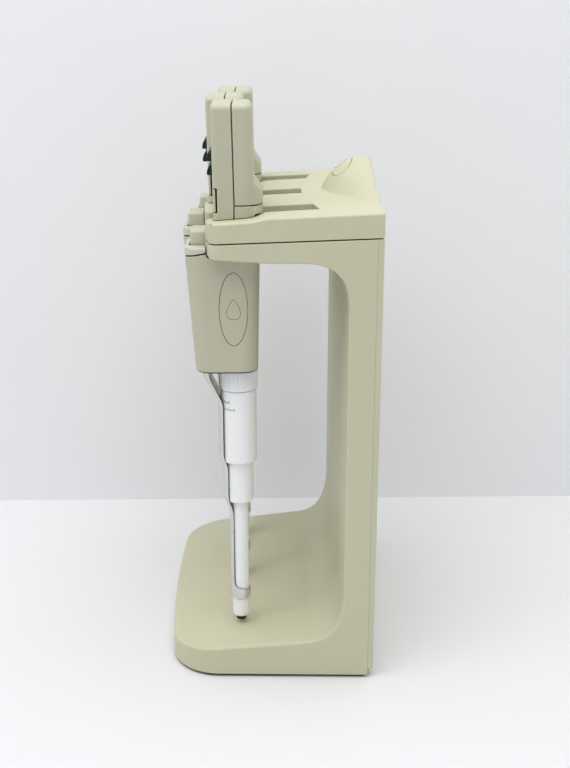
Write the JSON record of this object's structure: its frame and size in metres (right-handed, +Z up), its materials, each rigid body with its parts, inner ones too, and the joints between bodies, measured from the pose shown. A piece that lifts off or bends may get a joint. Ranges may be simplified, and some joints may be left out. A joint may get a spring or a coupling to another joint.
{
  "type": "pipette set",
  "caption": "Electronic pipettes with wedge keys, green buttons and steel tip ejectors, hanging by their necks in the slotted arms of a C-shaped charging stand.",
  "frame": {"origin": "middle of the footprint, on the bench", "axes": "+Z up, -Y towards the front where the pipettes hang, +X towards the right-hand pipette"},
  "size_m": [0.1658, 0.108, 0.2933],
  "materials": {
    "stand_plastic": "fine satin texture",
    "pipette_plastic": "satin",
    "nose_white": "semi-gloss",
    "key_green": "soft touch",
    "badge_plastic": "satin, with a thin engraved oval",
    "display_window": "polished",
    "steel": "rolled strip",
    "foot_rubber": "matt",
    "black_plastic": "matt",
    "circuit_board": "solder mask"
  },
  "bodies": {
    "stand": {"stand_body": "stand_plastic", "top_cover": "stand_plastic", "rear_panel": "stand_plastic", "base_plate": "stand_plastic", "foot_front_left": "foot_rubber", "foot_front_right": "foot_rubber", "foot_rear_left": "foot_rubber", "foot_rear_right": "foot_rubber", "charger_board": "circuit_board", "power_jack": "black_plastic", "badge": "badge_plastic"},
    "pipette_right": {"handle_shell_right": "pipette_plastic", "shoulder_trim_right": "pipette_plastic", "head_front_shell_right": "pipette_plastic", "head_rear_shell_right": "pipette_plastic", "battery_pack_right": "pipette_plastic", "display_board_right": "display_window", "nose_barrel_right": "nose_white", "drive_motor_right": "black_plastic", "ejector_spring_right": "steel"},
    "ejector_right": {"ejector_button_right": "pipette_plastic", "ejector_arm_right": "steel"},
    "trigger_right": {"trigger_key_right": "pipette_plastic"},
    "key_upper_right": {"key_upper_right": "key_green"},
    "key_lower_right": {"key_lower_right": "key_green"},
    "nut_right": {"nose_nut_right": "nose_white"},
    "piston_right": {"piston_right": "steel"},
    "pipette_centre": {"handle_shell_centre": "pipette_plastic", "shoulder_trim_centre": "pipette_plastic", "head_front_shell_centre": "pipette_plastic", "head_rear_shell_centre": "pipette_plastic", "battery_pack_centre": "pipette_plastic", "display_board_centre": "display_window", "nose_barrel_centre": "nose_white", "drive_motor_centre": "black_plastic", "ejector_spring_centre": "steel"},
    "ejector_centre": {"ejector_button_centre": "pipette_plastic", "ejector_arm_centre": "steel"},
    "trigger_centre": {"trigger_key_centre": "pipette_plastic"},
    "key_upper_centre": {"key_upper_centre": "key_green"},
    "key_lower_centre": {"key_lower_centre": "key_green"},
    "nut_centre": {"nose_nut_centre": "nose_white"},
    "piston_centre": {"piston_centre": "steel"},
    "pipette_left": {"handle_shell_left": "pipette_plastic", "shoulder_trim_left": "pipette_plastic", "head_front_shell_left": "pipette_plastic", "head_rear_shell_left": "pipette_plastic", "battery_pack_left": "pipette_plastic", "display_board_left": "display_window", "nose_barrel_left": "nose_white", "drive_motor_left": "black_plastic", "ejector_spring_left": "steel"},
    "ejector_left": {"ejector_button_left": "pipette_plastic", "ejector_arm_left": "steel"},
    "trigger_left": {"trigger_key_left": "pipette_plastic"},
    "key_upper_left": {"key_upper_left": "key_green"},
    "key_lower_left": {"key_lower_left": "key_green"},
    "nut_left": {"nose_nut_left": "nose_white"},
    "piston_left": {"piston_left": "steel"}
  },
  "joints": [
    {"name": "hang_slide_right", "type": "slide", "parent": "stand", "child": "pipette_right", "axis": [0, -0.9984, -0.0559], "range_m": [0, 0.07], "stiffness_N_per_m": 200, "springref_m": -0.005},
    {"name": "ejector_press_right", "type": "slide", "parent": "pipette_right", "child": "ejector_right", "axis": [0, 0, -1], "range_m": [0, 0.005], "stiffness_N_per_m": 400, "springref_m": -0.005, "deforming": ["ejector_spring_right"]},
    {"name": "trigger_press_right", "type": "slide", "parent": "pipette_right", "child": "trigger_right", "axis": [0, 1, 0], "range_m": [0, 0.001], "stiffness_N_per_m": 1500, "springref_m": -0.001},
    {"name": "key_upper_press_right", "type": "slide", "parent": "pipette_right", "child": "key_upper_right", "axis": [0, 1, 0], "range_m": [0, 0.0008], "stiffness_N_per_m": 1500, "springref_m": -0.001},
    {"name": "key_lower_press_right", "type": "slide", "parent": "pipette_right", "child": "key_lower_right", "axis": [0, 1, 0], "range_m": [0, 0.0008], "stiffness_N_per_m": 1500, "springref_m": -0.001},
    {"name": "nut_turn_right", "type": "hinge", "parent": "pipette_right", "child": "nut_right", "pos_m": [0.054, -0.0153, 0.155], "axis": [0, 0, 1], "range_deg": [0, 360]},
    {"name": "piston_stroke_right", "type": "slide", "parent": "pipette_right", "child": "piston_right", "axis": [0, 0, 1], "range_m": [0, 0.02]},
    {"name": "hang_slide_centre", "type": "slide", "parent": "stand", "child": "pipette_centre", "axis": [0, -0.9984, -0.0559], "range_m": [0, 0.07], "stiffness_N_per_m": 200, "springref_m": -0.005},
    {"name": "ejector_press_centre", "type": "slide", "parent": "pipette_centre", "child": "ejector_centre", "axis": [0, 0.0192, -0.9998], "range_m": [0, 0.005], "stiffness_N_per_m": 400, "springref_m": -0.005, "deforming": ["ejector_spring_centre"]},
    {"name": "trigger_press_centre", "type": "slide", "parent": "pipette_centre", "child": "trigger_centre", "axis": [0, 0.9998, 0.0192], "range_m": [0, 0.001], "stiffness_N_per_m": 1500, "springref_m": -0.001},
    {"name": "key_upper_press_centre", "type": "slide", "parent": "pipette_centre", "child": "key_upper_centre", "axis": [0, 0.9998, 0.0192], "range_m": [0, 0.0008], "stiffness_N_per_m": 1500, "springref_m": -0.001},
    {"name": "key_lower_press_centre", "type": "slide", "parent": "pipette_centre", "child": "key_lower_centre", "axis": [0, 0.9998, 0.0192], "range_m": [0, 0.0008], "stiffness_N_per_m": 1500, "springref_m": -0.001},
    {"name": "nut_turn_centre", "type": "hinge", "parent": "pipette_centre", "child": "nut_centre", "pos_m": [0, -0.01829, 0.155], "axis": [0, -0.0192, 0.9998], "range_deg": [0, 360]},
    {"name": "piston_stroke_centre", "type": "slide", "parent": "pipette_centre", "child": "piston_centre", "axis": [0, -0.0192, 0.9998], "range_m": [0, 0.02]},
    {"name": "hang_slide_left", "type": "slide", "parent": "stand", "child": "pipette_left", "axis": [0, -0.9984, -0.0559], "range_m": [0, 0.07], "stiffness_N_per_m": 200, "springref_m": -0.005},
    {"name": "ejector_press_left", "type": "slide", "parent": "pipette_left", "child": "ejector_left", "axis": [0, 0, -1], "range_m": [0, 0.005], "stiffness_N_per_m": 400, "springref_m": -0.005, "deforming": ["ejector_spring_left"]},
    {"name": "trigger_press_left", "type": "slide", "parent": "pipette_left", "child": "trigger_left", "axis": [0, 1, 0], "range_m": [0, 0.001], "stiffness_N_per_m": 1500, "springref_m": -0.001},
    {"name": "key_upper_press_left", "type": "slide", "parent": "pipette_left", "child": "key_upper_left", "axis": [0, 1, 0], "range_m": [0, 0.0008], "stiffness_N_per_m": 1500, "springref_m": -0.001},
    {"name": "key_lower_press_left", "type": "slide", "parent": "pipette_left", "child": "key_lower_left", "axis": [0, 1, 0], "range_m": [0, 0.0008], "stiffness_N_per_m": 1500, "springref_m": -0.001},
    {"name": "nut_turn_left", "type": "hinge", "parent": "pipette_left", "child": "nut_left", "pos_m": [-0.054, -0.0163, 0.155], "axis": [0, 0, 1], "range_deg": [0, 360]},
    {"name": "piston_stroke_left", "type": "slide", "parent": "pipette_left", "child": "piston_left", "axis": [0, 0, 1], "range_m": [0, 0.02]}
  ]
}
